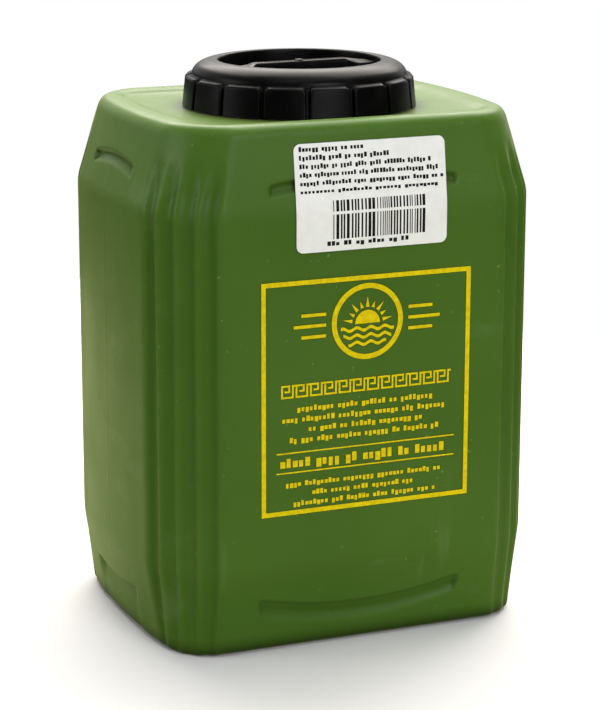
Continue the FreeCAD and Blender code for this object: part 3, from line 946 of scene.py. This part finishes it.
# ------------------------------------------------------------------ studio
def floor_material():
    """Pale floor: neutral as the camera sees it, darker and yellower in the light it gives back."""
    material, nodes, links, shader, place = new_material("floor")
    seen = tones(nodes, links, place, 3, 2, (0.3, grey(0.62)), (0.7, grey(0.64)))
    path = nodes.new("ShaderNodeLightPath")
    colour = mix(nodes, links, path.outputs["Is Camera Ray"], (0.42, 0.44, 0.25), seen)
    links.new(colour, shader.inputs["Base Color"])
    shader.inputs["Roughness"].default_value = 0.9
    return material


def make_floor():
    """A table top under the object; the camera sees a white world past its edges."""
    mesh = bpy.data.meshes.new("floor")
    left, right, front, back = -0.42, 0.40, -0.50, 0.80
    corners = [(left, front, 0), (right, front, 0), (right, back, 0), (left, back, 0)]
    mesh.from_pydata(corners, [], [(0, 1, 2, 3)])
    mesh.materials.append(floor_material())
    floor = bpy.data.objects.new("floor", mesh)
    bpy.context.scene.collection.objects.link(floor)


def make_world():
    """White to the camera; it lights the object from behind and above, and is dim in front."""
    world = bpy.data.worlds.new("studio")
    bpy.context.scene.world = world
    world.use_nodes = True
    nodes, links = world.node_tree.nodes, world.node_tree.links
    background = nodes["Background"]
    place = nodes.new("ShaderNodeTexCoord").outputs["Generated"]
    split = nodes.new("ShaderNodeSeparateXYZ")
    links.new(place, split.inputs["Vector"])
    behind = remap(nodes, links, split.outputs["Y"], -0.1, 0.8)
    above = remap(nodes, links, split.outputs["Z"], -0.1, 0.25)
    lit = combine(nodes, links, "MULTIPLY", behind, above)
    room = ramp(nodes, links, lit, (0.0, grey(0.08)), (1.0, grey(1.0)))
    path = nodes.new("ShaderNodeLightPath")
    colour = mix(nodes, links, path.outputs["Is Camera Ray"], room, grey(1.0))
    links.new(colour, background.inputs["Color"])


WHITE = (1, 1, 1)
WARM = (1.0, 0.93, 0.85)
# name, place, what it is aimed at, width, height, watts, colour
SOFTBOXES = [
    ("top", (0.45, 0.95, 1.45), (0, 0.30, 0.10), 2.0, 1.7, 90, WARM),
    ("overhead", (0.10, -0.45, 1.50), (0, -0.20, 0), 1.8, 0.8, 10, WHITE),
    ("front", (0.15, -1.80, 0.85), (0, 0, 0.10), 1.0, 0.8, 24, WHITE),
    ("left", (-1.6, 0.3, 0.7), (0, 0, 0.12), 0.8, 0.8, 10, WHITE),
    ("right", (1.5, 0.9, 0.4), (0, 0, 0.15), 0.4, 0.9, 1, WHITE),
]


def make_softbox(name, place, target, width, height, power, colour):
    """A rectangular area lamp."""
    light = bpy.data.lights.new(name, "AREA")
    light.shape = "RECTANGLE"
    light.size, light.size_y = width, height
    light.energy = power
    light.color = colour
    lamp = bpy.data.objects.new(name, light)
    lamp.location = place
    lamp.rotation_mode = "QUATERNION"
    lamp.rotation_quaternion = (Vector(target) - Vector(place)).to_track_quat("-Z", "Y")
    bpy.context.scene.collection.objects.link(lamp)


CAMERA_TURNS = (-22.77, 13.95, 0.11)    # yaw, pitch and roll in degrees
CAMERA_DISTANCE = 1.2676
AIM_RIGHT = 0.0007                      # where it aims, from half the height of the body
AIM_DOWN = 0.0020
SENSOR_WIDTH = 36
FOCAL_LENGTH = 123.24


def make_camera():
    """The camera of the fit to the photograph."""
    yaw, pitch, roll = (math.radians(angle) for angle in CAMERA_TURNS)
    back = Vector((math.sin(yaw) * math.cos(pitch), -math.cos(yaw) * math.cos(pitch),
                   math.sin(pitch)))
    level = Vector((math.cos(yaw), math.sin(yaw), 0))
    above = back.cross(level)
    right = level * math.cos(roll) + above * math.sin(roll)
    up = above * math.cos(roll) - level * math.sin(roll)
    aim = Vector((0, 0, HEIGHT / 2 * MM)) + right * AIM_RIGHT - up * AIM_DOWN
    data = bpy.data.cameras.new("camera")
    data.sensor_width = SENSOR_WIDTH
    data.lens = FOCAL_LENGTH
    camera = bpy.data.objects.new("camera", data)
    turned = Matrix((right, up, back)).transposed().to_4x4()
    camera.matrix_world = Matrix.Translation(aim + back * CAMERA_DISTANCE) @ turned
    bpy.context.scene.collection.objects.link(camera)
    bpy.context.scene.camera = camera


# ------------------------------------------------------------------ scene
green = green_plastic()
black = black_plastic()
make_body(green)
make_neck(green)
make_cap(black)
make_grip_bar(black)
label_size = LABEL_HIGH - LABEL_LOW
sheet("paper_label", LABEL_LOW.x, LABEL_LOW.z, label_size.x, label_size.z, LABEL_CORNER,
      LABEL_LIFT, LABEL_THICKNESS, paper(), "label", replaces=["label"])
make_label_marks(ink("label_ink", grey(0.002), grey(0.010), 0.6))
make_print(ink("yellow_ink", (0.57, 0.44, 0.001), (0.69, 0.54, 0.002), 0.5))
make_floor()
make_world()
for softbox in SOFTBOXES:
    make_softbox(*softbox)
make_camera()
bpy.context.scene.view_settings.view_transform = "Standard"
